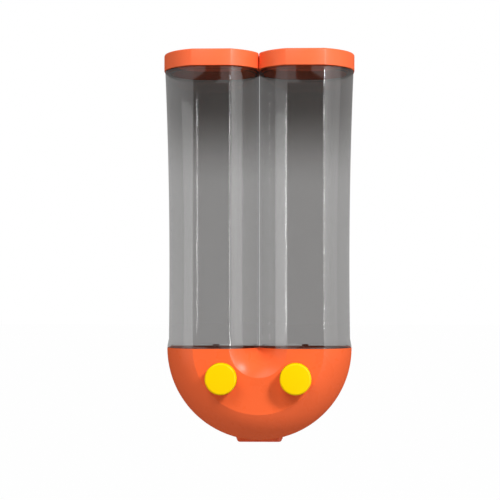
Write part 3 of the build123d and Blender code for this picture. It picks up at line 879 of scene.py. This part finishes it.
class DISPENSER_OT_inner_parts(bpy.types.Operator):
    """Give the pieces inside, behind and below their finishes"""

    bl_idname = "dispenser.inner_parts"
    bl_label = "Inner Parts"

    def execute(self, context):
        orange = settings().base.orange
        casing = moulded_plastic("satin_orange_parts", orange, 0.42)
        # A darker copy of the casing's orange for the hoppers inside, where shade falls: painted shade.
        inner = moulded_plastic("shaded_inner_orange", [c * 0.9 for c in orange], 0.48)
        natural = moulded_plastic("natural_plastic", (0.74, 0.71, 0.64), 0.45)
        zinc = drawn_steel("zinc_plate", (0.62, 0.62, 0.64), 0.35)
        finishes = {
            "back_cover": casing,
            "wall_bracket": casing,
            "outlet_chute": casing,
            "wall_pad": foam("foam_tape", (0.8, 0.8, 0.78)),
            "back_bumpers": soft_rubber("black_rubber", (0.02, 0.02, 0.02)),
            "cover_screws": zinc,
            "gate_screws": zinc,
        }
        seal = soft_rubber("red_silicone", (0.28, 0.03, 0.01))
        for side in SIDES:
            finishes[f"hopper_{side}"] = inner
            finishes[f"gate_guide_{side}"] = natural
            finishes[f"slider_{side}"] = natural
            finishes[f"lid_seal_{side}"] = seal
        for node, material in finishes.items():
            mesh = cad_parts[node].data
            mesh.materials.clear()
            mesh.materials.append(material)
        return {"FINISHED"}


def area_light(name, at, target, size, power):
    """A white rectangular lamp that faces a point."""
    lamp = bpy.data.lights.new(name, "AREA")
    lamp.shape = "RECTANGLE"
    lamp.size, lamp.size_y = size
    lamp.energy = power
    made = bpy.data.objects.new(name, lamp)
    bpy.context.scene.collection.objects.link(made)
    made.location = at
    made.rotation_euler = (Vector(target) - Vector(at)).to_track_quat("-Z", "Y").to_euler()
    return made


def soft_box(name, middle, turn, reach, heights, width, power):
    """An upright lamp round the object, at a turn from the front and between two heights."""
    height = (heights[0] + heights[1]) / 2
    at = Vector((middle.x + reach * sin(turn), middle.y - reach * cos(turn), height))
    return area_light(name, at, (middle.x, middle.y, height), (width, heights[1] - heights[0]), power)


def graded(made, *grades):
    """Let a lamp's light run between two levels from one place to another along each axis given."""
    made.data.use_nodes = True
    nodes, links = made.data.node_tree.nodes, made.data.node_tree.links
    point = nodes.new("ShaderNodeNewGeometry")
    split = nodes.new("ShaderNodeSeparateXYZ")
    links.new(point.outputs["Position"], split.inputs[0])
    total = nodes["Emission"].inputs["Strength"]
    for axis, places, levels in grades:
        level = nodes.new("ShaderNodeMapRange")
        links.new(split.outputs[axis], level.inputs["Value"])
        for name, value in zip(("From Min", "From Max", "To Min", "To Max"), (*places, *levels)):
            level.inputs[name].default_value = value
        step = nodes.new("ShaderNodeMath")
        step.operation = "MULTIPLY"
        step.inputs[1].default_value = 1.0
        links.new(level.outputs[0], step.inputs[0])
        links.new(step.outputs[0], total)
        total = step.inputs[1]


class DISPENSER_OT_stage(bpy.types.Operator):
    """Set up the floor, the lights and the camera"""

    bl_idname = "dispenser.stage"
    bl_label = "Stage"

    def execute(self, context):
        stage = settings().stage
        scene = context.scene
        scene.view_settings.view_transform = "Standard"
        bm = bmesh.new()
        level = Matrix.Translation((0, 0, stage.floor_z))
        bmesh.ops.create_grid(bm, x_segments=1, y_segments=1, size=30.0, matrix=level)
        floor = piece("pale_floor", bm, backdrop("pale_floor", (0.6, 0.6, 0.6)))
        middle = Vector((0.0, base_low.y, (base_low.z + lid_high.z) / 2))
        key_way, fill_way = Vector((0.545, -0.636, 0.545)), Vector((-0.26, -0.72, 0.64))
        key_reach, fill_reach = 1.5, 1.7
        area_light("key", middle + key_way * key_reach, middle, (0.3, 0.3), stage.key_power)
        area_light("fill", middle + fill_way * fill_reach, middle, (0.9, 0.9), stage.fill_power)
        # The strip shows only in the polish, as bright lines down the tanks' creases
        strip = soft_box("strip_box", middle, radians(37.0), 1.2, (-0.2, 0.447), 0.15, stage.strip_power)
        strip.visible_diffuse = False
        soft_box("left_box", middle, radians(-64.0), 1.0, (-0.2, 0.37), 0.65, stage.left_power)
        right_box = soft_box("right_box", middle, radians(70.0), 1.1, (-0.15, 0.6), 0.9, stage.right_power)
        graded(right_box, ("Z", (0.0, 0.45), (0.6, 1.5)), ("Y", (-0.9, -0.5), (1.35, 0.55)))
        self.dark_card()
        self.light_world(scene, stage.ambient)
        camera = bpy.data.cameras.new("camera")
        camera.lens = stage.lens
        camera.sensor_width = 36.0
        camera.sensor_fit = "HORIZONTAL"
        made = bpy.data.objects.new("camera", camera)
        scene.collection.objects.link(made)
        made.location = stage.camera_at
        flat = cos(stage.pitch)
        ahead = Vector((-sin(stage.turn) * flat, cos(stage.turn) * flat, sin(stage.pitch)))
        made.rotation_euler = ahead.to_track_quat("-Z", "Y").to_euler()
        scene.camera = made
        return {"FINISHED"}

    def dark_card(self):
        """A dark card behind the camera, which only the polished faces show."""
        at, half_size = (-0.05, -2.0, 0.28), (0.35, 0.52)
        upright = Matrix.Rotation(pi / 2, 4, "X") @ Matrix.Diagonal((*half_size, 1.0, 1.0))
        place = Matrix.Translation(at) @ upright
        bm = bmesh.new()
        bmesh.ops.create_grid(bm, x_segments=1, y_segments=1, size=1.0, matrix=place)
        finish = Finish("dark_card", Roughness=0.9)
        finish.set("Base Color", opaque((0.02, 0.02, 0.02)))
        card = piece("dark_card", bm, finish.material)
        for ray in ("camera", "diffuse", "transmission", "shadow", "volume_scatter"):
            setattr(card, f"visible_{ray}", False)

    def light_world(self, scene, ambient):
        """White to look at, and a gentler level as light."""
        world = bpy.data.worlds.new("studio")
        world.use_nodes = True
        scene.world = world
        nodes, links = world.node_tree.nodes, world.node_tree.links
        sky = nodes["Background"]
        sky.inputs["Color"].default_value = (1.0, 1.0, 1.0, 1.0)
        path = nodes.new("ShaderNodeLightPath")
        total = None
        for kind in ("Is Camera Ray", "Is Glossy Ray", "Is Transmission Ray"):
            add = nodes.new("ShaderNodeMath")
            add.operation = "ADD"
            add.use_clamp = True
            links.new(path.outputs[kind], add.inputs[0])
            if total is None:
                add.inputs[1].default_value = 0.0
            else:
                links.new(total, add.inputs[1])
            total = add.outputs[0]
        level = nodes.new("ShaderNodeMapRange")
        links.new(total, level.inputs["Value"])
        level.inputs["To Min"].default_value = ambient
        level.inputs["To Max"].default_value = 1.0
        links.new(level.outputs[0], sky.inputs["Strength"])


class DISPENSER_PT_panel(bpy.types.Panel):
    """Sidebar panel with the dispenser's sizes and steps"""

    bl_idname = "DISPENSER_PT_panel"
    bl_label = "Dispenser"
    bl_space_type = "VIEW_3D"
    bl_region_type = "UI"
    bl_category = "Dispenser"

    def draw(self, context):
        for group in ("plan", "tank", "lid", "base", "button", "spring", "stage"):
            sizes = getattr(context.scene.dispenser, group)
            box = self.layout.box()
            box.label(text=group.capitalize())
            for name in sizes.__annotations__:
                box.prop(sizes, name)
        for operator in OPERATORS:
            self.layout.operator(operator.bl_idname)


GROUPS = (PlanSizes, TankSizes, LidSizes, BaseSizes, ButtonSizes, SpringSizes, StageLook, DispenserSettings)
OPERATORS = (
    DISPENSER_OT_tanks,
    DISPENSER_OT_lids,
    DISPENSER_OT_base,
    DISPENSER_OT_buttons,
    DISPENSER_OT_springs,
    DISPENSER_OT_inner_parts,
    DISPENSER_OT_stage,
)


def register():
    for kind in (*GROUPS, *OPERATORS, DISPENSER_PT_panel):
        bpy.utils.register_class(kind)
    bpy.types.Scene.dispenser = bpy.props.PointerProperty(type=DispenserSettings)


def unregister():
    del bpy.types.Scene.dispenser
    for kind in reversed((*GROUPS, *OPERATORS, DISPENSER_PT_panel)):
        bpy.utils.unregister_class(kind)


def main():
    register()
    bpy.ops.dispenser.tanks()
    bpy.ops.dispenser.lids()
    bpy.ops.dispenser.base()
    bpy.ops.dispenser.buttons()
    bpy.ops.dispenser.springs()
    bpy.ops.dispenser.inner_parts()
    bpy.ops.dispenser.stage()
    bpy.context.view_layer.update()


if __name__ == "__main__":
    main()
